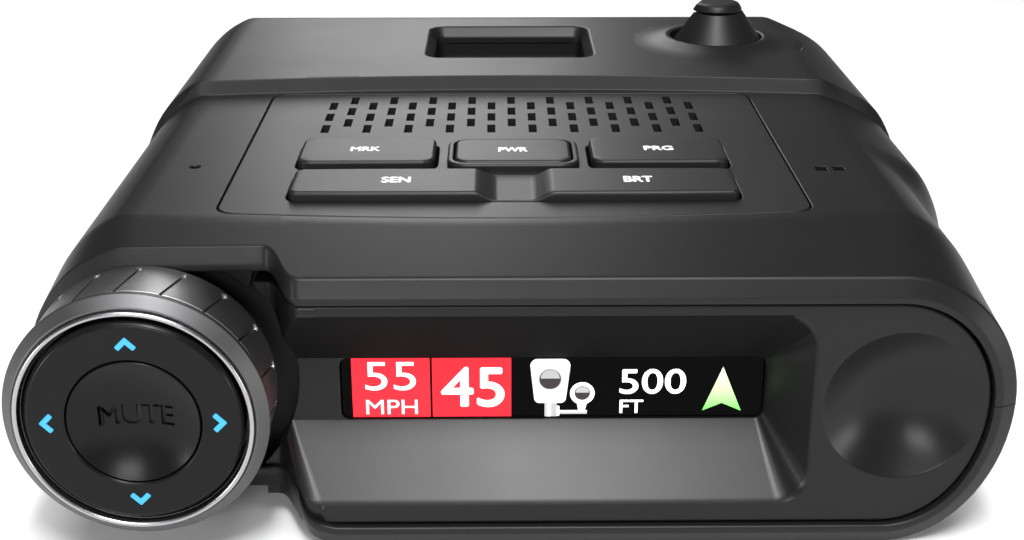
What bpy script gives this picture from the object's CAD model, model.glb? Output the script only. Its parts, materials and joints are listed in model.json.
import json
import math

import bmesh
import bpy
from mathutils import Matrix, Vector


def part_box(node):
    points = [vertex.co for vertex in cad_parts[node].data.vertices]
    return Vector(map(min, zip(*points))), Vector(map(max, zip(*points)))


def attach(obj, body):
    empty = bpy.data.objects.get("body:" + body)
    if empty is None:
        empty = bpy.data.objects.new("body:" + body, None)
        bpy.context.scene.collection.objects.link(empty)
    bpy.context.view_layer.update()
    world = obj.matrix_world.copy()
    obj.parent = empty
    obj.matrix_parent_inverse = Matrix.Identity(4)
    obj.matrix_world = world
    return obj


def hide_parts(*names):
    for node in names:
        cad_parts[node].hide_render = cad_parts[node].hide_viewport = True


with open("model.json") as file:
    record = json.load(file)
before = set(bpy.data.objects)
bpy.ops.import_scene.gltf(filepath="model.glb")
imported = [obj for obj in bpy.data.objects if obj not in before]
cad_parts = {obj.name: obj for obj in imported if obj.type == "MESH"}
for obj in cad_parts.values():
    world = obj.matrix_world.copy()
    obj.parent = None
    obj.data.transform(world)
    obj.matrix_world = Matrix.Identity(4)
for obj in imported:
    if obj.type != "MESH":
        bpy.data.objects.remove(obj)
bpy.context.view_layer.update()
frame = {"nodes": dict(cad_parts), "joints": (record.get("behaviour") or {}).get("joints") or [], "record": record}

# ---------------------------------------------------------------------------------------------------------
# Everything is drawn in millimetres in the case's own frame: X = 0 on the case's centre plane, Y = 0 at the
# front lip and Z = 0 at the base. place() turns that into the row frame in metres.
# ---------------------------------------------------------------------------------------------------------
MM = 0.001
HALF_WIDTH = 48.4
case_low, case_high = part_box("top_shell")
ORIGIN = Vector((case_low.x / MM + HALF_WIDTH, case_low.y / MM, 0.0))
LENGTH = (case_high.y - case_low.y) / MM


def node_box(node):
    """A CAD node's corners in the case's own frame, in millimetres."""
    return [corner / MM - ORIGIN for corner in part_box(node)]


def upright_at(node):
    """A matrix that stands things on the base, on a CAD node's middle."""
    low, high = node_box(node)
    return Matrix.Translation(((low.x + high.x) / 2, (low.y + high.y) / 2, 0))


def joint_point(name):
    joint = next(j for j in frame["joints"] if j["name"] == name)
    return Vector(joint["pos_m"]) / MM - ORIGIN


WALL = 2.4
POD_REACH = 2.6
SCREWS = [f"case_screw_{index}" for index in range(1, 5)]
PARTING_Z = 15.5
SEAM = 0.04
DECK_Z = node_box("key_power")[1].z - 1.0
REAR_DECK_Z = DECK_Z + 1.8
LIP_Z = DECK_Z - 2.2
SIDE_REACH = 12.2
REAR_CORNER_R = 10.0
REAR_TOP_R = 7.0
REAR_BOTTOM_R = 4.0
DIAL = joint_point("dial_turn")
TURRET = joint_point("camera_aim")


def place(points):
    return [(Vector(p) + ORIGIN) * MM for p in points]


def clamp(value, low=0.0, high=1.0):
    return max(low, min(high, value))


def ease(value):
    t = clamp(value)
    return t * t * (3 - 2 * t)


def mix(a, b, t):
    return a + (b - a) * t


# ---- mesh helpers ----
SHARP = 38.0


def make(name, points, faces, sharp=SHARP):
    mesh = bpy.data.meshes.new(name)
    mesh.from_pydata(place(points), [], faces)
    obj = bpy.data.objects.new(name, mesh)
    bpy.context.scene.collection.objects.link(obj)
    heal(obj)
    shade(obj, sharp)
    return obj


def heal(obj):
    work = bmesh.new()
    work.from_mesh(obj.data)
    bmesh.ops.remove_doubles(work, verts=work.verts, dist=1e-7)
    bmesh.ops.dissolve_degenerate(work, edges=work.edges, dist=1e-8)
    bmesh.ops.recalc_face_normals(work, faces=work.faces)
    work.to_mesh(obj.data)
    work.free()


def shade(obj, sharp=SHARP):
    obj.data.shade_smooth()
    obj.data.set_sharp_from_angle(angle=math.radians(sharp))
    if "weighted" not in obj.modifiers:
        weighted = obj.modifiers.new("weighted", "WEIGHTED_NORMAL")
        weighted.keep_sharp = True
        weighted.weight = 100


def loft(name, loops):
    count = len(loops[0])
    faces = []
    for ring in range(len(loops) - 1):
        low = ring * count
        for step in range(count):
            after = (step + 1) % count
            faces.append((low + step, low + after, low + count + after, low + count + step))
    faces.append(tuple(range(count)))
    faces.append(tuple(range((len(loops) - 1) * count, len(loops) * count)))
    return make(name, [p for loop in loops for p in loop], faces)


def carve(target, *cutters, operation="DIFFERENCE", sharp=SHARP):
    """Cuts (or joins) the cutters into the target, one after the other, and shades it again."""
    target.modifiers.clear()
    for cutter in cutters:
        cutter.modifiers.clear()
        modifier = target.modifiers.new("cut", "BOOLEAN")
        modifier.operation = operation
        modifier.solver = "EXACT"
        modifier.object = cutter
        bpy.context.view_layer.update()
        evaluated = target.evaluated_get(bpy.context.evaluated_depsgraph_get())
        target.data = bpy.data.meshes.new_from_object(evaluated)
        target.modifiers.clear()
        bpy.data.objects.remove(cutter)
    heal(target)
    shade(target, sharp)
    return target


def fillet(corners, steps=6, closed=True):
    """A polyline from (x, y, radius) corners, each corner rounded by an arc."""
    out = []
    count = len(corners)
    for index, (x, y, r) in enumerate(corners):
        here = Vector((x, y))
        at_end = not closed and index in (0, count - 1)
        if r <= 0 or at_end:
            out.append((x, y))
            continue
        before = Vector(corners[index - 1][:2])
        after = Vector(corners[(index + 1) % count][:2])
        to_before = (before - here).normalized()
        to_after = (after - here).normalized()
        half = to_before.angle(to_after) / 2
        if half > math.pi / 2 - 1e-3:
            out.append((x, y))
            continue
        reach = r / math.tan(half)
        centre = here + (to_before + to_after).normalized() * (r / math.sin(half))
        start = here + to_before * reach - centre
        end = here + to_after * reach - centre
        turn = start.angle_signed(end)
        for step in range(steps + 1):
            angle = -turn * step / steps
            ca, sa = math.cos(angle), math.sin(angle)
            out.append((centre.x + start.x * ca - start.y * sa, centre.y + start.x * sa + start.y * ca))
    return out


def rect(x0, x1, y0, y1, r, steps=6):
    return fillet([(x0, y0, r), (x1, y0, r), (x1, y1, r), (x0, y1, r)], steps)


def grow(outline, distance):
    """Moves a counter-clockwise outline's points outwards by distance."""
    out = []
    count = len(outline)
    for index in range(count):
        before = Vector(outline[index - 1])
        here = Vector(outline[index])
        after = Vector(outline[(index + 1) % count])
        first = (here - before).normalized()
        second = (after - here).normalized()
        along = (first + second).normalized()
        spread = max(0.5, along.dot(first))
        out.append((here.x + along.y * distance / spread, here.y - along.x * distance / spread))
    return out


def quarter(radius, steps=5, last=90.0):
    """(inset, drop) pairs of a rounded edge, from the side (inset 0) to the top (drop 0)."""
    pairs = []
    for step in range(steps + 1):
        angle = math.radians(last) * step / steps
        pairs.append((radius * (1 - math.cos(angle)), radius * (1 - math.sin(angle))))
    return pairs


def slab(name, outline, z0, z1, top_r, crown=0.0):
    """A plate with the given outline and rounded top edge; crown lifts its middle slightly."""
    levels = [(z0, 0.0)] + [(z1 - drop, -inset) for inset, drop in quarter(top_r)]
    loops = [[(x, y, z) for x, y in grow(outline, spread)] for z, spread in levels]
    if crown:
        middle_x = (min(p[0] for p in outline) + max(p[0] for p in outline)) / 2
        middle_y = (min(p[1] for p in outline) + max(p[1] for p in outline)) / 2
        rim = loops[-1]
        for share in (0.9, 0.75, 0.5, 0.25):
            lift = z1 + crown * (1 - share * share)
            loops.append([(mix(middle_x, x, share), mix(middle_y, y, share), lift) for x, y, _ in rim])
    return loft(name, loops)


def flare(name, outline, z0, z1, r):
    """A cutter whose mouth at z1 widens, so that the opening it leaves has a rounded edge."""
    loops = [[(x, y, z0) for x, y in outline]]
    for inset, drop in quarter(r, 4, 84.0):
        loops.append([(x, y, z1 - drop) for x, y in grow(outline, inset)])
    loops.append([(x, y, z1 + 0.6) for x, y in grow(outline, r + 0.3)])
    return loft(name, loops)


def turn_about(name, profile, segments=96, matrix=None, closed=False):
    """A lathe solid about local Z from (radius, height) points; closed rings join last to first."""
    rings = list(profile)
    count = len(rings)
    points, faces = [], []
    for radius, height in rings:
        for step in range(segments):
            angle = 2 * math.pi * step / segments
            points.append(Vector((radius * math.cos(angle), radius * math.sin(angle), height)))
    last = count if closed else count - 1
    for ring in range(last):
        low, high = ring * segments, ((ring + 1) % count) * segments
        for step in range(segments):
            after = (step + 1) % segments
            faces.append((low + step, low + after, high + after, high + step))
    if not closed:
        for ring in (0, count - 1):
            if rings[ring][0] > 1e-6:
                faces.append(tuple(range(ring * segments, (ring + 1) * segments)))
    if matrix is not None:
        points = [matrix @ p for p in points]
    return make(name, points, faces)


def box_mesh(name, x0, x1, y0, y1, z0, z1, matrix=None):
    outline = [(x0, y0), (x1, y0), (x1, y1), (x0, y1)]
    points = [Vector((x, y, z)) for z in (z0, z1) for x, y in outline]
    if matrix is not None:
        points = [matrix @ p for p in points]
    faces = [(3, 2, 1, 0), (4, 5, 6, 7), (0, 1, 5, 4), (1, 2, 6, 5), (2, 3, 7, 6), (3, 0, 4, 7)]
    return make(name, points, faces)


def merged(name, objects):
    """One object holding the meshes of several that don't touch."""
    work = bmesh.new()
    for obj in objects:
        work.from_mesh(obj.data)
        bpy.data.objects.remove(obj)
    mesh = bpy.data.meshes.new(name)
    work.to_mesh(mesh)
    work.free()
    out = bpy.data.objects.new(name, mesh)
    bpy.context.scene.collection.objects.link(out)
    shade(out)
    return out


def lettering(name, words, width, height, matrix, depth=0.05, weight=0.0):
    """Text as closed meshes of the given overall size, centred on the matrix's origin.

    A weight draws each letter five times, moved sideways and up by that much, for a bolder stroke.
    """
    curve = bpy.data.curves.new(name, "FONT")
    curve.body = words
    curve.size = height / 0.7
    curve.extrude = depth / 2
    curve.resolution_u = 6
    holder = bpy.data.objects.new(name, curve)
    bpy.context.scene.collection.objects.link(holder)
    bpy.context.view_layer.update()
    mesh = bpy.data.meshes.new_from_object(holder.evaluated_get(bpy.context.evaluated_depsgraph_get()))
    bpy.data.objects.remove(holder)
    xs = [v.co.x for v in mesh.vertices]
    ys = [v.co.y for v in mesh.vertices]
    middle_x, middle_y = (min(xs) + max(xs)) / 2, (min(ys) + max(ys)) / 2
    scale_x = (width - 2 * weight) / (max(xs) - min(xs))
    scale_y = (height - 2 * weight) / (max(ys) - min(ys))
    shifts = [(0, 0), (-weight, 0), (weight, 0), (0, -weight), (0, weight)] if weight else [(0, 0)]
    points, faces = [], []
    for index, (shift_x, shift_y) in enumerate(shifts):
        start = len(points)
        for v in mesh.vertices:
            x = (v.co.x - middle_x) * scale_x + shift_x
            y = (v.co.y - middle_y) * scale_y + shift_y
            points.append(matrix @ Vector((x, y, v.co.z + depth / 2 + 0.0004 * index)))
        faces += [tuple(start + corner for corner in p.vertices) for p in mesh.polygons]
    bpy.data.meshes.remove(mesh)
    return make(name, points, faces)


# ---- materials ----
def new_material(name):
    material = bpy.data.materials.new(name)
    material.use_nodes = True
    nodes = material.node_tree.nodes
    return material, nodes, material.node_tree.links, nodes["Principled BSDF"]


def noise(nodes, links, scale, detail=3.0, vector=None, roughness=0.55):
    texture = nodes.new("ShaderNodeTexNoise")
    texture.inputs["Scale"].default_value = scale
    texture.inputs["Detail"].default_value = detail
    texture.inputs["Roughness"].default_value = roughness
    if vector is None:
        vector = nodes.new("ShaderNodeTexCoord").outputs["Object"]
    links.new(vector, texture.inputs["Vector"])
    return texture.outputs["Fac"]


def spread(nodes, links, value, low, high, start=0.3, end=0.7):
    ranged = nodes.new("ShaderNodeMapRange")
    ranged.inputs["From Min"].default_value = start
    ranged.inputs["From Max"].default_value = end
    ranged.inputs["To Min"].default_value = low
    ranged.inputs["To Max"].default_value = high
    links.new(value, ranged.inputs["Value"])
    return ranged.outputs["Result"]


def bumped(nodes, links, height, strength, distance):
    bump = nodes.new("ShaderNodeBump")
    bump.inputs["Strength"].default_value = strength
    bump.inputs["Distance"].default_value = distance
    links.new(height, bump.inputs["Height"])
    return bump.outputs["Normal"]


def tinted(nodes, links, value, color, low=0.9, high=1.1):
    blend = nodes.new("ShaderNodeMix")
    blend.data_type = "RGBA"
    blend.inputs["A"].default_value = (*[c * low for c in color], 1)
    blend.inputs["B"].default_value = (*[c * high for c in color], 1)
    links.new(value, blend.inputs["Factor"])
    return blend.outputs["Result"]


def plastic(name, color, roughness, grain=0.25, grain_scale=5200.0, specular=0.3):
    """Moulded plastic: fine spark-eroded grain, slightly uneven gloss and tone."""
    material, nodes, links, shader = new_material(name)
    fine = noise(nodes, links, grain_scale, 2.0)
    patch = noise(nodes, links, 90.0, 4.0)
    links.new(tinted(nodes, links, patch, color), shader.inputs["Base Color"])
    links.new(spread(nodes, links, patch, roughness - 0.015, roughness + 0.015), shader.inputs["Roughness"])
    links.new(bumped(nodes, links, fine, grain, 0.00003), shader.inputs["Normal"])
    shader.inputs["Specular IOR Level"].default_value = specular
    return material


def spun_metal(name, color, roughness, centre, lines, strength):
    """Turned metal: fine tool lines running round the axis at centre."""
    material, nodes, links, shader = new_material(name)
    coords = nodes.new("ShaderNodeTexCoord").outputs["Object"]
    moved = nodes.new("ShaderNodeVectorMath")
    moved.operation = "SUBTRACT"
    moved.inputs[1].default_value = (centre + ORIGIN) * MM
    links.new(coords, moved.inputs[0])
    split = nodes.new("ShaderNodeSeparateXYZ")
    links.new(moved.outputs["Vector"], split.inputs["Vector"])
    flat = nodes.new("ShaderNodeCombineXYZ")
    links.new(split.outputs["X"], flat.inputs["X"])
    links.new(split.outputs["Z"], flat.inputs["Y"])
    radius = nodes.new("ShaderNodeVectorMath")
    radius.operation = "LENGTH"
    links.new(flat.outputs["Vector"], radius.inputs[0])
    ringed = nodes.new("ShaderNodeCombineXYZ")
    links.new(radius.outputs["Value"], ringed.inputs["X"])
    links.new(split.outputs["Y"], ringed.inputs["Y"])
    rings = noise(nodes, links, lines, 3.0, ringed.outputs["Vector"], 0.7)
    patch = noise(nodes, links, 220.0, 4.0)
    links.new(tinted(nodes, links, rings, color, 0.9, 1.08), shader.inputs["Base Color"])
    links.new(spread(nodes, links, patch, roughness - 0.03, roughness + 0.04), shader.inputs["Roughness"])
    links.new(bumped(nodes, links, rings, strength, 0.00001), shader.inputs["Normal"])
    shader.inputs["Metallic"].default_value = 1.0
    return material


def glowing(name, color, strength, roughness=0.3):
    """A lit print or light pipe, a little uneven across its area."""
    material, nodes, links, shader = new_material(name)
    patch = noise(nodes, links, 700.0, 2.0)
    tone = tinted(nodes, links, patch, color, 0.95, 1.05)
    links.new(tone, shader.inputs["Base Color"])
    links.new(tone, shader.inputs["Emission Color"])
    shader.inputs["Emission Strength"].default_value = strength
    shader.inputs["Specular IOR Level"].default_value = 0.12
    shader.inputs["Roughness"].default_value = roughness
    return material


def glossy_glass(name, color, roughness=0.06, coat=1.0, specular=0.5):
    material, nodes, links, shader = new_material(name)
    smear = noise(nodes, links, 90.0, 5.0)
    links.new(tinted(nodes, links, smear, color, 0.9, 1.1), shader.inputs["Base Color"])
    links.new(spread(nodes, links, smear, roughness, roughness + 0.05), shader.inputs["Roughness"])
    shader.inputs["Coat Weight"].default_value = coat
    shader.inputs["Coat Roughness"].default_value = 0.03
    shader.inputs["Specular IOR Level"].default_value = specular
    return material


CASE = plastic("case_plastic", (0.008, 0.008, 0.0083), 0.40, 0.22, specular=0.26)
PANEL = plastic("panel_plastic", (0.0115, 0.0115, 0.0118), 0.41, 0.2)
BEZEL = plastic("bezel_plastic", (0.009, 0.009, 0.0092), 0.30, 0.12, specular=0.22)
KEYS = plastic("key_plastic", (0.012, 0.012, 0.0124), 0.40, 0.2, specular=0.26)
PAD = plastic("pad_plastic", (0.006, 0.006, 0.0062), 0.26, 0.06, specular=0.15)
INNER = plastic("inner_plastic", (0.008, 0.008, 0.0085), 0.55, 0.3)
GRIP = spun_metal("grip_metal", (0.27, 0.27, 0.274), 0.40, DIAL, 5200.0, 0.3)
SILVER = spun_metal("satin_silver", (0.12, 0.12, 0.123), 0.5, DIAL, 9000.0, 0.22)
CHROME = spun_metal("ridge_chrome", (0.40, 0.40, 0.41), 0.26, DIAL, 9000.0, 0.08)
ARROW = glowing("arrow_blue", (0.055, 0.34, 0.62), 0.32)
PRINT = glowing("legend_white", (0.86, 0.86, 0.86), 0.12, 0.5)
DULL = plastic("ceiling_plastic", (0.006, 0.006, 0.0062), 0.85, 0.3, specular=0.1)
SCREEN = glossy_glass("smoked_glass", (0.001, 0.001, 0.0011), 0.08, 0.0, 0.04)
LENS = glossy_glass("lens_glass", (0.012, 0.014, 0.03), 0.03)
STEEL = spun_metal("screw_steel", (0.35, 0.35, 0.36), 0.35, DIAL, 3000.0, 0.2)

# Finishes for the CAD nodes that stay as they are: (colour, roughness, metallic).
CARRIED = {
    "circuit_board": ((0.012, 0.085, 0.03), 0.45, 0.0),
    "nickel": ((0.55, 0.55, 0.56), 0.3, 1.0),
    "cast_alloy": ((0.42, 0.42, 0.43), 0.5, 1.0),
    "steel": ((0.35, 0.35, 0.36), 0.35, 1.0),
    "magnet": ((0.30, 0.30, 0.31), 0.3, 1.0),
    "ceramic": ((0.48, 0.38, 0.24), 0.6, 0.0),
    "foil": ((0.08, 0.12, 0.24), 0.4, 0.0),
    "paper": ((0.011, 0.011, 0.011), 0.9, 0.0),
    "inner_plastic": ((0.008, 0.008, 0.0085), 0.55, 0.0),
    "clear_glass": ((0.02, 0.025, 0.04), 0.08, 0.0),
}


def carried_materials():
    """Every CAD node that stays gets its slot's procedural finish."""
    slots = {row["node"]: row["material_slot"] for row in frame["record"]["subparts"]}
    made = {}
    for node, obj in frame["nodes"].items():
        slot = slots[node]
        color, roughness, metallic = CARRIED.get(slot, CARRIED["inner_plastic"])
        if slot not in made:
            made[slot] = plastic("carried_" + slot, color, roughness, 0.35, 2600.0)
            made[slot].node_tree.nodes["Principled BSDF"].inputs["Metallic"].default_value = metallic
        obj.data.materials.clear()
        obj.data.materials.append(made[slot])


def piece(obj, body, slot, material, *nodes):
    obj.data.materials.clear()
    obj.data.materials.append(material)
    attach(obj, body)
    if nodes:
        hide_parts(*nodes)
    return obj


# ---- the case ----
TOP_ANGLE = math.radians(75)
FIXED_X = 30.0
EDGE_X = HALF_WIDTH - SIDE_REACH + SIDE_REACH * math.cos(TOP_ANGLE)
NOTCH_RIGHT_X = -20.2
NOTCH_LEFT_X = -24.6
SETBACK_Y = 6.0


def round_off(distance, radius):
    along = clamp(distance, 0.0, radius)
    return radius - math.sqrt(radius * radius - along * along)


def front_edge(x):
    """Where the shell's front edge lies: set back round the dial at the left."""
    t = clamp((NOTCH_RIGHT_X - x) / (NOTCH_RIGHT_X - NOTCH_LEFT_X))
    return SETBACK_Y * t * t * t * (t * (t * 6 - 15) + 10)


STEP_Y = 60.0
STEP_RUN = 0.6


def step_bow(x):
    """How far the step in the roof comes forward, away from the middle."""
    return 2.6 * (x / EDGE_X) ** 2


def roof_height(x, y):
    crease = 10.5 + 2.5 * (x / EDGE_X) ** 2
    foot = STEP_Y - step_bow(x)
    if y < 40:
        return mix(LIP_Z, DECK_Z, clamp(y / crease))
    t, blend = clamp((y - foot) / STEP_RUN), 0.2
    if t < blend:
        rise = t * t / (2 * blend * (1 - blend))
    elif t > 1 - blend:
        rise = 1 - (1 - t) ** 2 / (2 * blend * (1 - blend))
    else:
        rise = (t - blend / 2) / (1 - blend)
    return mix(DECK_Z, REAR_DECK_Z, rise)


def floor_height(x, y):
    """The base, rounded up at the corner beside the dial and raised behind the dial."""
    behind = 3.5 * (1 - ease((y - 6.0) / 8.0))
    if x < NOTCH_RIGHT_X - 1.4:
        return behind
    chin = min(round_off(NOTCH_RIGHT_X + 2.6 - x, 4.0), 3.9)
    return min(chin, max(behind, 3.9 * (1 - ease((y - 4.0) / 9.0))))


def pod_reach(y, share):
    """The side swelling: how far the right-hand side stands out."""
    along = ease((y - 31.0) / 7.0) * ease((97.5 - y) / 5.0)
    return POD_REACH * along * ease((1.0 - share) / 0.42)


def top_angle(y):
    return mix(math.radians(88.0), TOP_ANGLE, ease(y / 13.0))


def case_point(column, y, inset, upper, rear_inset):
    end_y = LENGTH - rear_inset
    corner_r = REAR_CORNER_R - rear_inset
    half = HALF_WIDTH - round_off(y - (end_y - corner_r), corner_r)
    centre_x = half - SIDE_REACH
    angle = top_angle(y) if upper else math.pi / 2
    reach = SIDE_REACH - inset
    edge = centre_x + reach * math.cos(angle)
    kind, value = column
    if kind == "flat":
        if y < 20:
            outer = abs(value) - FIXED_X
            x = value if outer < 0 else math.copysign(
                FIXED_X + outer * (edge - FIXED_X) / (EDGE_X - FIXED_X), value)
        else:
            x = value * edge / EDGE_X
        sign_x, share = x, 1.0
    else:
        sign_x, share = math.copysign(edge, value), abs(value)
        x = None
    if upper:
        fall = round_off(y - (end_y - (REAR_TOP_R - rear_inset)), REAR_TOP_R - rear_inset)
        level = roof_height(sign_x, y) - fall
        rise = (level - PARTING_Z) / math.sin(angle) - inset
    else:
        fall = round_off(y - (end_y - (REAR_BOTTOM_R - rear_inset)), REAR_BOTTOM_R - rear_inset)
        level = floor_height(sign_x, y) + fall
        rise = PARTING_Z - level - inset
    if x is None:
        turn = angle * share
        x = math.copysign(centre_x + reach * math.cos(turn), value)
        if value > 0:
            x += pod_reach(y, share)
        lift = rise * math.sin(turn)
    else:
        lift = rise * math.sin(angle)
    lift = SEAM + lift * (1 - SEAM / max(rise, 1.0))
    return Vector((x, y, PARTING_Z + lift if upper else PARTING_Z - lift))


def case_columns():
    side = [("side", max(step, 0.001) / 18) for step in range(18)]
    edges = [EDGE_X, 37.5, 35, 32.5, 30]
    middle = [x * 2.0 for x in range(14, -10, -1)]
    notch = [-19.4 - 0.3 * step for step in range(24)]
    left = [-28, -30, -32.5, -35, -37.5, -EDGE_X]
    flat = [("flat", x) for x in edges + middle + notch + left]
    return side + flat + [("side", -value) for _, value in reversed(side)]


def case_half(name, upper):
    columns = case_columns()
    stations = [1.3, 1.9, 2.8, 4, 5.5, 7, 8.5, 9.7, 10.3, 10.9, 11.6, 12.4, 13.2, 14.5, 17, 20, 26, 30]
    stations += [31 + step for step in range(9)] + [44, 50, 55]
    stations += [57.5, 59, 59.7]
    step_shares = (0, 0.05, 0.1, 0.15, 0.2, 0.4, 0.6, 0.8, 0.85, 0.9, 0.95, 1)
    stations += [STEP_Y + STEP_RUN * share for share in step_shares]
    stations += [61.4, 62, 63, 65, 68, 76, 84, 88, 90]
    angles = [math.radians(9 * step) for step in range(11)]
    rear_start = LENGTH - REAR_CORNER_R
    stations += [rear_start + REAR_CORNER_R * math.sin(angle) for angle in angles]
    lip = [(0.9, 2.38), (0.22, 2.36), (0.08, 2.28), (0.02, 2.18), (0.0, 2.05), (0.0, 1.72), (0.02, 1.6),
           (0.08, 1.46), (0.7, 0.24), (0.8, 0.1), (0.92, 0.03), (1.08, 0.0)]

    def ring(nominal, inset, rear_inset):
        y = nominal
        if nominal > STEP_Y and rear_inset:
            y = STEP_Y + (nominal - STEP_Y) * (LENGTH - rear_inset - STEP_Y) / (LENGTH - STEP_Y)
        loop = []
        for column in columns:
            probe = case_point(column, y, inset, upper, rear_inset)
            shifted = y + front_edge(probe.x) * clamp(1 - nominal / 20)
            shifted -= step_bow(probe.x) * ease((nominal - 48) / 10) * ease((72 - nominal) / 10)
            loop.append(case_point(column, shifted, inset, upper, rear_inset))
        return loop

    def cap(loop):
        centre = Vector((0, loop[0].y, loop[0].z))
        return [[centre + (p - centre) * share for p in loop] for share in (0.75, 0.4, 0.0)]

    outer = [ring(n, 0.0, 0.0) for n in stations]
    inner = [ring(n, WALL, WALL) for n in stations]
    outer += cap(outer[-1])
    inner += cap(inner[-1])
    front = [ring(depth, inset, 0.0) for depth, inset in lip]
    rings = inner[::-1] + front + outer
    count = len(columns)
    faces = []
    for index in range(len(rings) - 1):
        low = index * count
        for step in range(count - 1):
            faces.append((low + step, low + step + 1, low + count + step + 1, low + count + step))
    inner_count, front_count = len(inner), len(front)
    for step in (0, count - 1):
        for k in range(inner_count - 1):
            inner_a, inner_b = (inner_count - 1 - k) * count + step, (inner_count - 2 - k) * count + step
            outer_a = (inner_count + front_count + k) * count + step
            faces.append((inner_a, inner_b, outer_a + count, outer_a))
        faces.append(tuple((inner_count - 1 + k) * count + step for k in range(front_count + 2)))
    return make(name, [p for loop in rings for p in loop], faces, 30)


def panel_outline(clearance):
    low, high = node_box("control_panel")
    side = (high.x - low.x) / 2 + 0.3 - clearance
    rear = high.y + 0.3 - clearance
    front = 13.1 + clearance
    bow = []
    for step in range(25):
        t = step / 24
        x = mix(-side + 2.2, side - 2.2, t)
        bow.append((x, front - 6 * t * (1 - t)))
    corner = fillet([(side - 2.2, front, 0), (side, front, 2.2), (side, rear, 2.2), (-side, rear, 2.2),
                     (-side, front, 2.2), (-side + 2.2, front, 0)], 7, closed=False)
    return bow[:-1] + corner[1:-1]


def window_outline(node, clearance):
    low, high = node_box(node)
    return rect(low.x - clearance, high.x + clearance, low.z - clearance, high.z + clearance, 2.0 + clearance)


def through_rear(name, outline):
    loops = [[(x, y, z) for x, z in grow(outline, spread)]
             for y, spread in ((LENGTH - 8, 0.0), (LENGTH - 0.25, 0.0), (LENGTH - 0.1, 0.06), (LENGTH, 0.2),
                               (LENGTH + 1, 0.9))]
    return loft(name, loops)


def rear_window_cutters():
    nodes = ("radar_window", "camera_window")
    return [through_rear(f"hole_{node}", window_outline(node, 0.12)) for node in nodes]


MOUNT = (-10.4, 10.4, 71.0, 87.6)
POCKET_DEPTH = 5.0


def build_case():
    top = case_half("case_upper", True)
    on_turret = Matrix.Translation((TURRET.x, TURRET.y, 0))
    swell = [(12.2, -1.5), (12.2, -0.2), (11.4, 0.012), (10.6, 0.04), (9.8, 0.11), (9.0, 0.24), (8.3, 0.42),
             (7.7, 0.62), (7.25, 0.78), (6.95, 0.85), (6.7, 0.83), (6.5, 0.72), (0, 0.72)]
    rings = [(r, REAR_DECK_Z + rise) for r, rise in [(0, -1.5)] + swell]
    collar = turn_about("collar", rings, 96, on_turret)
    carve(top, collar, operation="UNION", sharp=30)
    bore = turn_about("bore", [(0, 20), (6.45, 20), (6.45, 45), (0, 45)], 96, on_turret)
    opening = flare("opening", panel_outline(0.0), DECK_Z - 6, DECK_Z, 0.16)
    pocket = loft("pocket", pocket_loops())
    mic_profile = [(0, 20), (0.55, 20), (0.55, DECK_Z - 0.12), (0.72, DECK_Z + 0.01), (1.0, 40), (0, 40)]
    mic = turn_about("mic", mic_profile, 24, upright_at("microphone"))
    light_low, light_high = node_box("light_sensor")
    light_x, light_y = (light_low.x + light_high.x) / 2, (light_low.y + light_high.y) / 2
    light_holes = [flare(f"light_{side}", rect(light_x + side * 0.95 - 0.6, light_x + side * 0.95 + 0.6,
                                               light_y - 0.75, light_y + 0.75, 0.12, 2), 20, DECK_Z, 0.08)
                   for side in (-1, 1)]
    windows = rear_window_cutters()
    carve(top, bore, opening, pocket, mic, *light_holes, *windows, sharp=30)
    piece(top, "case", "case_plastic", CASE, "top_shell")

    base = case_half("case_lower", False)
    windows = rear_window_cutters()
    jack_low, jack_high = node_box("power_jack")
    jack = through_rear("jack_hole", rect(jack_low.x - 0.12, jack_high.x + 0.12, jack_low.z - 0.12,
                                          jack_high.z + 0.12, 0.5))
    card = slot_cutter()
    heads = []
    head_profile = [(0, -1), (3.2, -1), (2.95, 0.0), (2.7, 0.25), (2.7, 3.5), (0, 3.5)]
    for node in SCREWS:
        heads.append(turn_about("head_" + node, head_profile, 48, upright_at(node)))
    carve(base, *windows, jack, card, *heads, label_recess(), sharp=30)
    piece(base, "case", "case_plastic", CASE, "bottom_shell")

    liner_loops = []
    x0, x1, y0, y1 = MOUNT
    floor = REAR_DECK_Z - POCKET_DEPTH
    for spread_by, z in ((1.2, REAR_DECK_Z - 2.2), (1.2, floor - 1.1), (0.8, floor - 1.4)):
        liner_loops.append([(x, y, z) for x, y in grow(rect(x0, x1, y0, y1, 1.0), spread_by)])
    liner = loft("bracket_pocket_liner", liner_loops[::-1])
    hollow = []
    rounded_floor = [(-0.7, 0.0), (-0.25, 0.12), (-0.05, 0.5), (0.0, 1.0), (0.0, 40 - floor)]
    for spread_by, z in [(spread_by, floor + rise) for spread_by, rise in rounded_floor]:
        hollow.append([(x, y, z) for x, y in grow(rect(x0, x1, y0, y1, 1.0), spread_by)])
    carve(liner, loft("hollow", hollow))
    piece(liner, "case", "case_plastic", CASE)


def pocket_loops():
    """The bracket pocket's mouth: straight walls below a wide chamfer with softened edges."""
    levels = [(-8.0, 0.0), (-1.5, 0.0), (-1.35, 0.04), (-1.2, 0.12), (-0.2, 0.9), (-0.08, 1.02),
              (-0.02, 1.17), (0.0, 1.3), (0.6, 1.6)]
    return [[(x, y, REAR_DECK_Z + z) for x, y in grow(rect(*MOUNT, 1.2), extra)] for z, extra in levels]


def slot_cutter():
    low, high = node_box("card_socket")
    middle_y = (low.y + high.y) / 2
    outline = rect(middle_y - 6.2, middle_y + 6.2, 11.1, 13.3, 0.6)
    x_face = HALF_WIDTH + POD_REACH
    loops = [[(x, y, z) for y, z in grow(outline, spread_by)]
             for x, spread_by in ((43, 0.0), (x_face - 0.9, 0.0), (x_face - 0.2, 0.3), (x_face + 1, 1.4))]
    return loft("card_cutter", loops)


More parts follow.
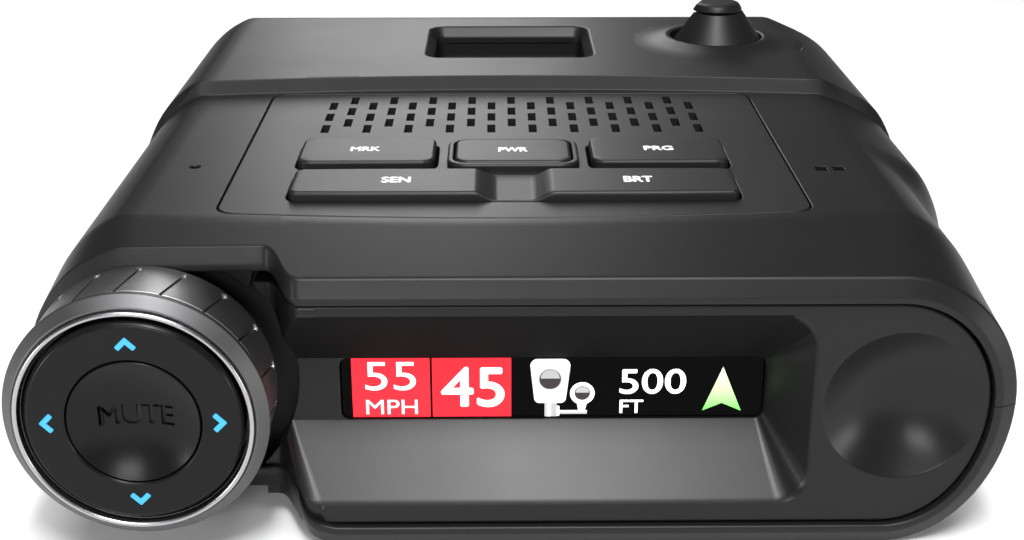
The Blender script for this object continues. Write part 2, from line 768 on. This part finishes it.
def label_recess():
    outline = rect(-22, 22, 30, 58, 2.5)
    return loft("label", [[(x, y, z) for x, y in grow(outline, spread_by)]
                          for z, spread_by in ((-1, 0.5), (0.0, 0.12), (0.25, 0.0))])


# ---- bezel and display ----
def full_outline(inset):
    """The front opening as (x, z) points, counter-clockwise seen from the driver."""
    centre = HALF_WIDTH - SIDE_REACH
    reach = SIDE_REACH - inset
    rise, fall = LIP_Z - PARTING_Z - inset, PARTING_Z - inset
    right = [(centre + reach * math.cos(a), PARTING_Z + (rise if a > 0 else fall) * math.sin(a))
             for a in [math.radians(-90 + 6 * step) for step in range(31)]]
    return right + [(-x, z) for x, z in reversed(right)]


def build_bezel():
    face_y, rear_y = node_box("front_bezel")[0].y, node_box("front_bezel")[1].y
    loops = [[(x, rear_y, z) for x, z in full_outline(WALL + 0.14)]]
    for inset, drop in quarter(0.3, 4):
        loops.append([(x, face_y + drop, z) for x, z in full_outline(WALL + 0.14 + inset)])
    bezel = loft("bezel", loops)
    window_low, window_high = node_box("display_window")
    back_y = window_low.y - 0.1
    right_back = window_high.x + 0.35
    high_back, low_back = window_high.z + 0.4, window_low.z - 0.4
    right_face, high_face, low_face = 28.75, 24.8, 4.75
    shares = [(face_y - 1.2, -0.1, 0.9), (face_y - 0.1, 0.0, 0.34), (face_y + 0.02, 0.0, 0.16),
              (face_y + 0.2, 0.02, 0.04), (face_y + 0.45, 0.06, 0.0), (back_y - 0.2, 0.97, 0.0),
              (back_y, 1.0, 0.0)]
    recess = []
    for y, t, extra in shares:
        t = max(t, 0.0)
        right = mix(right_face, right_back, t) + extra
        high = mix(high_face, high_back, t) + extra
        low = mix(low_face, low_back, t) - extra
        corner = mix(3.2, 0.9, t)
        left = mix(-22.6, -23.6, t) - extra
        left_corner = mix(3.6, 1.2, t)
        outline = fillet([(left, low, left_corner), (right, low, corner), (right, high, corner),
                          (-40, high, 0), (-40, 14, 0), (left, 14, 0)], 8)
        recess.append([(x, y, z) for x, z in outline])
    window_hole = [(x, z) for x, z in rect(window_low.x - 0.3, right_back, low_back, high_back, 0.9)]
    hole = loft("window_hole", [[(x, y, z) for x, z in window_hole] for y in (back_y - 2, rear_y + 2)])
    bay = box_mesh("bay", -20.2, 26.4, back_y + 1.3, rear_y + 2, 8.6, 20)
    carve(bezel, loft("recess", recess), hole, bay, *dial_clearance(face_y))
    carve(bezel, dish_cutter(face_y))
    piece(bezel, "case", "bezel_plastic", BEZEL, "front_bezel")
    bezel.data.materials.append(DULL)
    dull_ceiling(bezel)

    glass = slab_front("display_glass", rect(window_low.x - 0.2, window_high.x + 0.25, window_low.z - 0.3,
                                             window_high.z + 0.3, 0.8), back_y + 0.35, back_y + 1.2, 0.08)
    piece(glass, "case", "smoked_glass", SCREEN, "display_window")
    build_graphics(back_y + 0.35)


def dial_clearance(face_y):
    """The bezel's left end: set back with the shell, and hollowed round the dial."""
    xs = [-19 - 0.25 * step for step in range(26)]
    outline = [(-60, -6), (-19, -6)] + [(x, face_y + front_edge(x) + 0.05) for x in xs]
    outline += [(-60, face_y + SETBACK_Y + 0.05)]
    setback = loft("setback", [[(x, y, z) for x, y in outline] for z in (-10, 50)])
    ring = [(0, -30), (14.3, -30), (14.3, 5), (0, 5)]
    round_dial = turn_about("round_dial", ring, 96, facing_driver(DIAL.x, 0, DIAL.z))
    return [setback, round_dial, box_mesh("left_end", -70, -25.5, -5, 30, -10, 50)]


def dull_ceiling(bezel):
    """The recess's ceiling is matt, so that it doesn't mirror the display."""
    for polygon in bezel.data.polygons:
        centre = polygon.center / MM - ORIGIN
        if polygon.normal.z < -0.3 and centre.z > 17.2 and centre.y < 7.2 and centre.x < 26.5:
            polygon.material_index = 1


def dish_cutter(face_y):
    """A thumb dish with a soft rim."""
    centre_x, centre_z, radius, depth = 37.4, 15.3, 8.0, 3.3
    profile = [(0.0, -depth)]
    for step in range(1, 33):
        t = step / 32
        profile.append((radius * t, -depth * (1 - t * t) ** 1.05))
    profile += [(radius + 0.25, 0.02), (radius + 0.5, 0.08), (radius + 0.5, 3), (0, 3)]
    matrix = Matrix(((1, 0, 0, centre_x), (0, 0, -1, face_y), (0, 1, 0, centre_z), (0, 0, 0, 1)))
    return turn_about("dish", profile, 128, matrix)


def facing_driver(x, y, z):
    """Local X right, local Y up, local Z towards the driver."""
    return Matrix(((1, 0, 0, x), (0, 0, -1, y), (0, 1, 0, z), (0, 0, 0, 1)))


def slab_front(name, outline, y_face, y_back, r):
    loops = [[(x, y_back, z) for x, z in outline]]
    for inset, drop in quarter(r, 3):
        loops.append([(x, y_face + drop, z) for x, z in grow(outline, -inset)])
    return loft(name, loops)


def build_graphics(glass_y):
    """What the display shows: two speed tiles, a camera sign, a distance and a heading arrow."""
    y = glass_y - 0.004
    lit = {
        "red": glowing("screen_red", (0.93, 0.022, 0.036), 0.78),
        "dark_red": glowing("screen_dark_red", (0.66, 0.02, 0.032), 0.72),
        "white": glowing("screen_white", (0.95, 0.95, 0.95), 0.95),
        "pale": glowing("screen_pale", (0.72, 0.72, 0.73), 0.85),
        "grey": glowing("screen_grey", (0.36, 0.36, 0.37), 0.75),
        "shade": glowing("screen_shade", (0.16, 0.16, 0.165), 0.7),
        "dark": glowing("screen_dark", (0.04, 0.033, 0.036), 0.6),
    }
    low, high = node_box("display_window")
    top, bottom = high.z + 0.2, low.z - 0.28

    def flat(name, outline, color, layer=0):
        front = y - 0.013 * layer
        obj = loft(name, [[(x, front, z) for x, z in outline], [(x, front - 0.012, z) for x, z in outline]])
        return piece(obj, "case", "smoked_glass", lit[color] if isinstance(color, str) else color)

    def words(name, text, width, height, x, z, weight=0.0):
        obj = lettering(name, text, width, height, facing_driver(x, y - 0.013, z), 0.014, weight)
        return piece(obj, "case", "smoked_glass", lit["white"])

    flat("screen_tile_limit", rect(-16.45, -8.6, bottom, top, 0.05, 2), "red")
    flat("screen_tile_speed", rect(-8.38, -0.42, bottom, top, 0.05, 2), "dark_red")
    words("screen_limit", "55", 5.1, 3.15, -12.56, 15.5)
    words("screen_limit_unit", "MPH", 5.2, 1.6, -12.5, 12.05)
    words("screen_speed", "45", 6.4, 4.5, -4.3, 14.25, 0.1)
    words("screen_distance", "500", 6.7, 2.8, 13.85, 14.8, 0.05)
    words("screen_distance_unit", "FT", 2.4, 1.5, 11.75, 12.0, 0.03)
    build_sign(flat)

    heading = heading_material(11.5, 16.4)
    tip, notch = (20.87, 16.4), (20.9, 12.35)
    flat("heading_left", [tip, (18.95, 11.5), notch], heading)
    flat("heading_right", [tip, notch, (22.9, 11.45)], heading)


def build_sign(flat):
    """The camera sign: a housing on a post and a small second camera on an arm."""
    def disc(name, x, z, r, color, layer, start=0, turn=360):
        steps = 36
        angles = [math.radians(start + turn * k / steps) for k in range(steps + (turn < 360))]
        flat(name, [(x + r * math.cos(a), z + r * math.sin(a)) for a in angles], color, layer)

    housing = fillet([(1.95, 12.42, 0.55), (5.05, 12.42, 0.55), (5.6, 17.35, 0.75), (1.4, 17.35, 0.75)], 6)
    flat("sign_housing", housing, "pale")
    flat("sign_housing_face", grow(housing, -0.14), "white", 1)
    disc("sign_lens_rim", 3.49, 15.15, 1.38, "pale", 2)
    disc("sign_lens_edge", 3.49, 15.1, 1.18, "grey", 3)
    disc("sign_lens", 3.49, 15.1, 1.08, "dark", 4)
    disc("sign_lens_glint", 3.49, 15.2, 0.96, "grey", 5, 0, 180)
    flat("sign_post", rect(2.95, 4.2, 10.9, 12.42, 0.05, 2), "grey")
    flat("sign_post_shine", rect(3.2, 3.6, 10.9, 12.42, 0.05, 2), "pale", 1)
    flat("sign_collar", rect(4.2, 4.45, 10.95, 12.1, 0.08, 3), "white")
    flat("sign_arm", rect(4.45, 7.25, 11.17, 11.62, 0.05, 2), "grey")
    flat("sign_arm_shine", rect(4.45, 7.25, 11.38, 11.56, 0.03, 2), "pale", 1)
    neck = fillet([(6.35, 11.62, 0), (7.05, 11.62, 0), (7.25, 12.5, 0.1), (6.2, 12.5, 0.1)], 2)
    flat("sign_neck", neck, "pale")
    disc("sign_small_rim", 6.75, 13.5, 1.24, "white", 1)
    disc("sign_small_edge", 6.75, 13.55, 0.9, "pale", 2)
    disc("sign_small_lens", 6.75, 13.55, 0.78, "dark", 3)
    disc("sign_small_glint", 6.75, 13.6, 0.68, "grey", 4, 0, 180)


def heading_material(low_z, high_z):
    """Green, paler towards the tip."""
    material, nodes, links, shader = new_material("screen_green")
    coords = nodes.new("ShaderNodeTexCoord").outputs["Object"]
    split = nodes.new("ShaderNodeSeparateXYZ")
    links.new(coords, split.inputs["Vector"])
    height = spread(nodes, links, split.outputs["Z"], 0.0, 1.0, low_z * MM, high_z * MM)
    ramp = nodes.new("ShaderNodeMix")
    ramp.data_type = "RGBA"
    ramp.inputs["A"].default_value = (0.13, 0.68, 0.10, 1)
    ramp.inputs["B"].default_value = (0.88, 0.98, 0.60, 1)
    links.new(height, ramp.inputs["Factor"])
    links.new(ramp.outputs["Result"], shader.inputs["Base Color"])
    links.new(ramp.outputs["Result"], shader.inputs["Emission Color"])
    shader.inputs["Emission Strength"].default_value = 0.85
    return material


# ---- key panel ----
def key_rect(node, clearance, r):
    low, high = node_box(node)
    return rect(low.x - clearance, high.x + clearance, low.y - clearance, high.y + clearance, r)


def build_panel():
    low = node_box("control_panel")[0]
    collar_z = DECK_Z + 0.82
    sheet = slab("panel", panel_outline(0.13), low.z, DECK_Z, 0.16)
    collar = slab("collar", rect(-7.25, 7.25, 26.3, 36.1, 2.1), DECK_Z - 1, collar_z, 0.3)
    carve(sheet, collar, operation="UNION")
    cutters = [
        flare("hole_mark", key_rect("key_mark", 0.28, 1.7), 20, DECK_Z, 0.14),
        flare("hole_program", key_rect("key_program", 0.28, 1.7), 20, DECK_Z, 0.14),
        flare("hole_power", key_rect("key_power", 0.18, 1.7), 20, collar_z, 0.12),
        flare("hole_rocker", key_rect("key_rocker", 0.26, 1.7), 20, DECK_Z, 0.14),
    ]
    carve(sheet, *cutters)
    slots = []
    for column in range(19):
        for row in range(3):
            x = (column - 9) * 2.45
            y = 42.6 + row * 4.9 + (column % 2) * 2.5
            slots.append(box_mesh(f"slot_{column}_{row}", x - 0.48, x + 0.48, y - 1.6, y + 1.6, 20, 40))
    carve(sheet, merged("slots", slots))
    piece(sheet, "case", "case_plastic", PANEL, "control_panel")


def build_keys():
    rows = (("key_mark", "mark_key", "MRK", -0.3), ("key_program", "program_key", "PRG", 0.1),
            ("key_power", "power_key", "PWR", 0.0))
    for node, body, words, shift in rows:
        low, high = node_box(node)
        cap = slab(node + "_cap", key_rect(node, 0.0, 1.5), low.z, high.z - 0.03, 0.38, 0.03)
        piece(cap, body, "key_plastic", KEYS, node)
        middle = ((low.x + high.x) / 2 + shift, (low.y + high.y) / 2 - 0.1, high.z - 0.01)
        label = lettering(node + "_legend", words, 3.3, 1.6, Matrix.Translation(middle), 0.02, 0.07)
        piece(label, body, "key_plastic", PRINT)
    build_rocker()


def build_rocker():
    low, high = node_box("key_rocker")
    middle_y = (low.y + high.y) / 2
    half = (high.x - low.x) / 2
    depth = (high.y - low.y) / 2
    sections = []
    xs = [-half, -half + 0.08, -half + 0.25, -half + 0.5, -half + 0.9, -16, -10, -6]
    xs += [-4.2, -4.0, -3.6, -3.0, -2.4, -2.0, -1.7, 0]
    xs = xs + [-x for x in reversed(xs[:-1])]
    top = high.z

    def surface(x):
        return mix(DECK_Z + 0.05, top, ease((abs(x) - 1.7) / 2.5))

    for x in xs:
        edge = abs(x) - (half - 1.5)
        pull = 1.5 - math.sqrt(max(0.0, 2.25 - edge * edge)) if edge > 0 else 0.0
        end_drop = 0.0
        if half - abs(x) < 0.42:
            end_drop = round_off(0.42 - (half - abs(x)), 0.42)
        z_top = surface(x) - end_drop
        y_half = depth - pull
        radius = min(0.42, max(0.05, z_top - DECK_Z + 0.1))
        loop = [(x, middle_y - y_half, low.z)]
        for inset, drop in quarter(radius, 4):
            loop.append((x, middle_y - y_half + inset, z_top - drop))
        for inset, drop in reversed(quarter(radius, 4)):
            loop.append((x, middle_y + y_half - inset, z_top - drop))
        loop.append((x, middle_y + y_half, low.z))
        sections.append(loop)
    rocker = loft("key_rocker_cap", sections)
    piece(rocker, "rocker", "key_plastic", KEYS, "key_rocker")
    for name, words, x in (("sensitivity", "SEN", -12.35), ("brightness", "BRT", 13.0)):
        spot = Matrix.Translation((x, middle_y, top - 0.005))
        label = lettering(name + "_legend", words, 3.1, 1.9, spot, 0.02, 0.08)
        piece(label, "rocker", "key_plastic", PRINT)


# ---- dial ----
def build_dial():
    axis = facing_driver(DIAL.x, 0.0, DIAL.z)
    trim_profile = fillet([(10.65, 0.9, 0), (12.15, 0.9, 0.15), (12.6, 1.35, 0.25), (12.6, 1.95, 0.2),
                           (11.62, 2.92, 0.12), (11.46, 3.0, 0.06), (11.4, 2.9, 0)], 4, closed=False)
    trim = turn_about("dial_trim_ring", trim_profile + [(10.65, 2.5)], 160, axis, closed=True)
    piece(trim, "dial", "satin_silver", SILVER, "dial_trim")
    ridge_profile = [(11.06 + 0.25 * math.cos(math.radians(a)), 3.12 + 0.25 * math.sin(math.radians(a)))
                     for a in range(-40, 221, 20)]
    ridge = turn_about("dial_ridge", ridge_profile + [(10.7, 2.52), (11.35, 2.52)], 160, axis, closed=True)
    piece(ridge, "dial", "satin_silver", CHROME)

    grip_profile = fillet([(7.4, -6, 0), (11.95, -6, 0.3), (12.3, -5.6, 0.3), (12.3, 0.6, 0.15),
                           (10.9, 0.6, 0)], 4, closed=False)
    grip = turn_about("dial_grip_ring", grip_profile + [(10.9, -4.8), (7.4, -4.8)], 180, axis, closed=True)
    pit_profile = [(0, 11.85), (0.3, 11.95), (0.4, 12.15), (0.46, 12.7), (0, 12.7)]
    grooves, pits = [], []
    for index in range(18):
        spin = axis @ Matrix.Rotation(math.radians(13.3 + 20 * index), 4, "Z")
        skewed = spin @ Matrix.Translation((0, 0, -1.7)) @ Matrix.Rotation(math.radians(-13), 4, "X")
        grooves.append(box_mesh(f"groove_{index}", 12.02, 12.8, -0.14, 0.14, -3.0, 2.9, skewed))
        pit_at = skewed @ Matrix.Translation((0, 0, -3.1)) @ Matrix.Rotation(math.radians(90), 4, "Y")
        pits.append(turn_about(f"pit_{index}", pit_profile, 20, pit_at))
    carve(grip, merged("grooves", grooves), merged("pits", pits))
    piece(grip, "dial", "grip_metal", GRIP, "dial_grip")
    build_pad(axis)


ARROWS = {"up": 0.0, "left": 90.0, "down": 180.0, "right": 270.0}
ARROW_R = 8.2


def chevron(clearance):
    grown = clearance * math.sqrt(2)
    return fillet([(0, 0.62 + grown, 0.12), (-1.03 - grown, -0.4, 0.12), (-0.66, -0.76 - grown, 0.12),
                   (0, -0.1 - grown, 0.05), (0.66, -0.76 - grown, 0.12), (1.03 + grown, -0.4, 0.12)], 4)


def build_pad(axis):
    profile = fillet([(6.42, 1.2, 0), (10.3, 1.2, 0), (10.32, 2.9, 0.3), (9.95, 3.36, 0.5), (6.6, 3.38, 0.1),
                      (6.42, 3.22, 0.1), (6.42, 2.2, 0)], 5, closed=False)
    pad = turn_about("pad_ring", profile, 160, axis, closed=True)
    pockets = []
    for direction, angle in ARROWS.items():
        spin = axis @ Matrix.Rotation(math.radians(angle), 4, "Z")
        loops = [[spin @ Vector((x, y + ARROW_R, z)) for x, y in chevron(0.04)] for z in (2.3, 4.2)]
        pockets.append(loft(f"pocket_{direction}", loops))
    carve(pad, *pockets)
    piece(pad, "pad", "pad_plastic", PAD, "arrow_pad")
    for direction, angle in ARROWS.items():
        spin = axis @ Matrix.Rotation(math.radians(angle), 4, "Z")
        levels = [(2.5, 0.0), (3.38, 0.0), (3.44, -0.05)]
        loops = [[spin @ Vector((x, y + ARROW_R, z)) for x, y in grow(chevron(0.0), inset)]
                 for z, inset in levels]
        light = loft(f"arrow_light_{direction}", loops)
        piece(light, "pad", "arrow_blue", ARROW, f"arrow_{direction}")

    rim, depth = 6.2, 1.75
    face = [(0, -0.9), (2, -0.9), (2, 0.8), (5.9, 0.8), (6.2, 1.05), (6.28, 1.6), (6.28, 3.14), (6.26, 3.22),
            (rim, 3.27)]
    for step in range(24, -1, -1):
        t = step / 25
        face.append((rim * t, 3.27 - depth * (1 - t * t)))
    button = turn_about("mute_cap", face, 128, axis)
    for shift in (-0.07, 0.07):
        spot = axis @ Matrix.Translation((shift, 0.1, 1.25))
        carve(button, lettering("mute_engraving", "MUTE", 7.0, 2.1, spot, 2.2))
    piece(button, "mute", "pad_plastic", PAD, "mute_button")
    ink = lettering("mute_word", "MUTE", 7.1, 2.15, axis @ Matrix.Translation((0, 0.1, 1.18)), 0.14, 0.06)
    piece(ink, "mute", "pad_plastic", INNER)


# ---- turret ----
def build_turret():
    place_at = Matrix.Translation((TURRET.x, TURRET.y, 0))
    low = node_box("turret_cone")[0]
    cone_profile = fillet([(0, low.z, 0), (5.6, low.z, 0.1), (5.6, REAR_DECK_Z - 0.2, 0.1),
                           (6.35, REAR_DECK_Z + 0.35, 0.15), (3.62, 36.85, 0.12), (3.3, 36.9, 0.1),
                           (3.2, 36.6, 0), (0, 36.6, 0)], 5, closed=False)
    cone = turn_about("turret", cone_profile, 120, place_at)
    turned = Matrix.Rotation(math.radians(-24), 4, "Z") @ Matrix.Rotation(math.radians(33), 4, "Y")
    tilt = place_at @ Matrix.Translation((-4.0, 0, REAR_DECK_Z + 2.6)) @ turned
    facet = box_mesh("facet", -4, 0, -10, 10, -10, 10, tilt)
    carve(cone, facet)
    bevel_edges(cone, 0.2, 24)
    piece(cone, "camera", "case_plastic", CASE, "turret_cone")
    cap_low, cap_high = node_box("turret_cap")
    cap = turn_about("turret_cap_disc", fillet([
        (0, cap_low.z, 0), (1.9, cap_low.z, 0), (1.9, 37.0, 0), (3.3, 37.02, 0.1), (3.5, 37.2, 0.15),
        (3.05, cap_high.z - 0.1, 0.55), (2.3, cap_high.z, 0.3), (0, cap_high.z, 0),
    ], 6, closed=False), 96, place_at)
    tilt = place_at @ Matrix.Translation((-3.1, 0, 37.2)) @ turned
    carve(cap, box_mesh("cap_facet", -4, 0, -10, 10, -10, 10, tilt))
    bevel_edges(cap, 0.25, 24)
    piece(cap, "camera", "case_plastic", CASE, "turret_cap")


def bevel_edges(obj, width, angle):
    obj.modifiers.clear()
    bevel = obj.modifiers.new("bevel", "BEVEL")
    bevel.width = width * MM
    bevel.segments = 3
    bevel.limit_method = "ANGLE"
    bevel.angle_limit = math.radians(angle)
    shade(obj)


# ---- rear side and underside ----
def build_rear():
    rows = (("radar_window", SCREEN, "smoked_glass"), ("camera_window", LENS, "clear_glass"))
    for node, material, slot in rows:
        low, high = node_box(node)
        outline = window_outline(node, 0.0)
        loops = [[(x, low.y, z) for x, z in outline]]
        for inset, drop in quarter(0.25, 4):
            loops.append([(x, high.y - drop, z) for x, z in grow(outline, -inset)])
        window = loft(node + "_pane", loops)
        piece(window, "case", slot, material, node)
    profile = [(0, 18), (1.2, 18), (1.2, 2.2), (2.4, 1.6), (2.42, 0.75), (2.25, 0.52), (1.6, 0.4),
               (0, 0.4)]
    for index, node in enumerate(SCREWS, 1):
        middle = upright_at(node)
        screw = turn_about(f"screw_{index}", profile, 48, middle)
        drives = [box_mesh(f"drive_{index}_{k}", -1.2, 1.2, -0.22, 0.22, 0.0, 1.3,
                           middle @ Matrix.Rotation(math.radians(90 * k + 20), 4, "Z")) for k in range(2)]
        carve(screw, *drives)
        piece(screw, "case", "steel", STEEL, node)


def build_gusset():
    """The moulded web under the lip, beside the dial."""
    outline = fillet([(-26.3, 24.6, 0.3), (-25.6, 26.9, 0.3), (-29.0, 26.9, 0.3)], 4)
    loops = [[(x, 10.3, z) for x, z in outline]]
    for inset, drop in quarter(0.18, 3):
        loops.append([(x, 8.0 + drop, z) for x, z in grow(outline, -inset)])
    web = loft("notch_web", loops)
    piece(web, "case", "case_plastic", CASE)


# ---- stage, light and camera ----
def build_stage():
    reach = 3000
    corners = [(-reach, -reach, 0), (reach, -reach, 0), (reach, reach, 0), (-reach, reach, 0)]
    floor = make("floor", corners, [(0, 1, 2, 3)])
    material, nodes, links, shader = new_material("floor_paper")
    fine = noise(nodes, links, 60.0, 3.0)
    links.new(tinted(nodes, links, fine, (0.92, 0.92, 0.92), 0.99, 1.01), shader.inputs["Base Color"])
    shader.inputs["Roughness"].default_value = 0.8
    floor.data.materials.append(material)

    world = bpy.data.worlds.new("studio")
    bpy.context.scene.world = world
    world.use_nodes = True
    background = world.node_tree.nodes["Background"]
    background.inputs["Color"].default_value = (1.0, 1.0, 1.0, 1)
    background.inputs["Strength"].default_value = 0.1

    def softbox(name, spot, aim, size, power, size_y):
        light = bpy.data.lights.new(name, "AREA")
        light.shape = "RECTANGLE"
        light.size = size
        light.size_y = size_y
        light.energy = power
        lamp = bpy.data.objects.new(name, light)
        bpy.context.scene.collection.objects.link(lamp)
        lamp.location = spot
        lamp.rotation_euler = (Vector(aim) - Vector(spot)).to_track_quat("-Z", "Y").to_euler()

    softbox("ceiling", (0.0, -0.36, 1.0), (0, -0.12, 0), 0.8, 9.4, 0.8)
    softbox("overhead", (0.010, -0.29, 0.50), (0, -0.045, 0.01), 0.06, 1.9, 0.22)
    softbox("behind", (-0.045, 0.58, 0.36), (0, 0, 0.03), 0.17, 0.95, 0.46)
    softbox("front", (-0.10, -0.75, 0.30), (-0.03, -0.05, 0.015), 0.26, 1.9, 0.14)
    softbox("left", (-0.7, -0.4, 0.08), (0, 0, 0.02), 0.25, 1.5, 0.12)
    softbox("right", (0.75, -0.4, 0.08), (0, 0, 0.02), 0.25, 1.2, 0.12)


def build_camera():
    pitch, yaw = math.radians(22.0), math.radians(0.57)
    spot = Vector((-1.7, -128.4, 81.8))
    aim = Vector((math.sin(yaw) * math.cos(pitch), math.cos(yaw) * math.cos(pitch), -math.sin(pitch)))
    data = bpy.data.cameras.new("camera")
    data.lens = 52.73
    data.sensor_width = 36.0
    data.clip_start = 0.005
    camera = bpy.data.objects.new("camera", data)
    bpy.context.scene.collection.objects.link(camera)
    camera.location = (spot + ORIGIN) * MM
    camera.rotation_mode = "QUATERNION"
    camera.rotation_quaternion = aim.to_track_quat("-Z", "Y")
    bpy.context.scene.camera = camera


carried_materials()
build_camera()
build_case()
build_bezel()
build_panel()
build_keys()
build_dial()
build_turret()
build_rear()
build_gusset()
build_stage()
bpy.context.scene.view_settings.view_transform = "Standard"
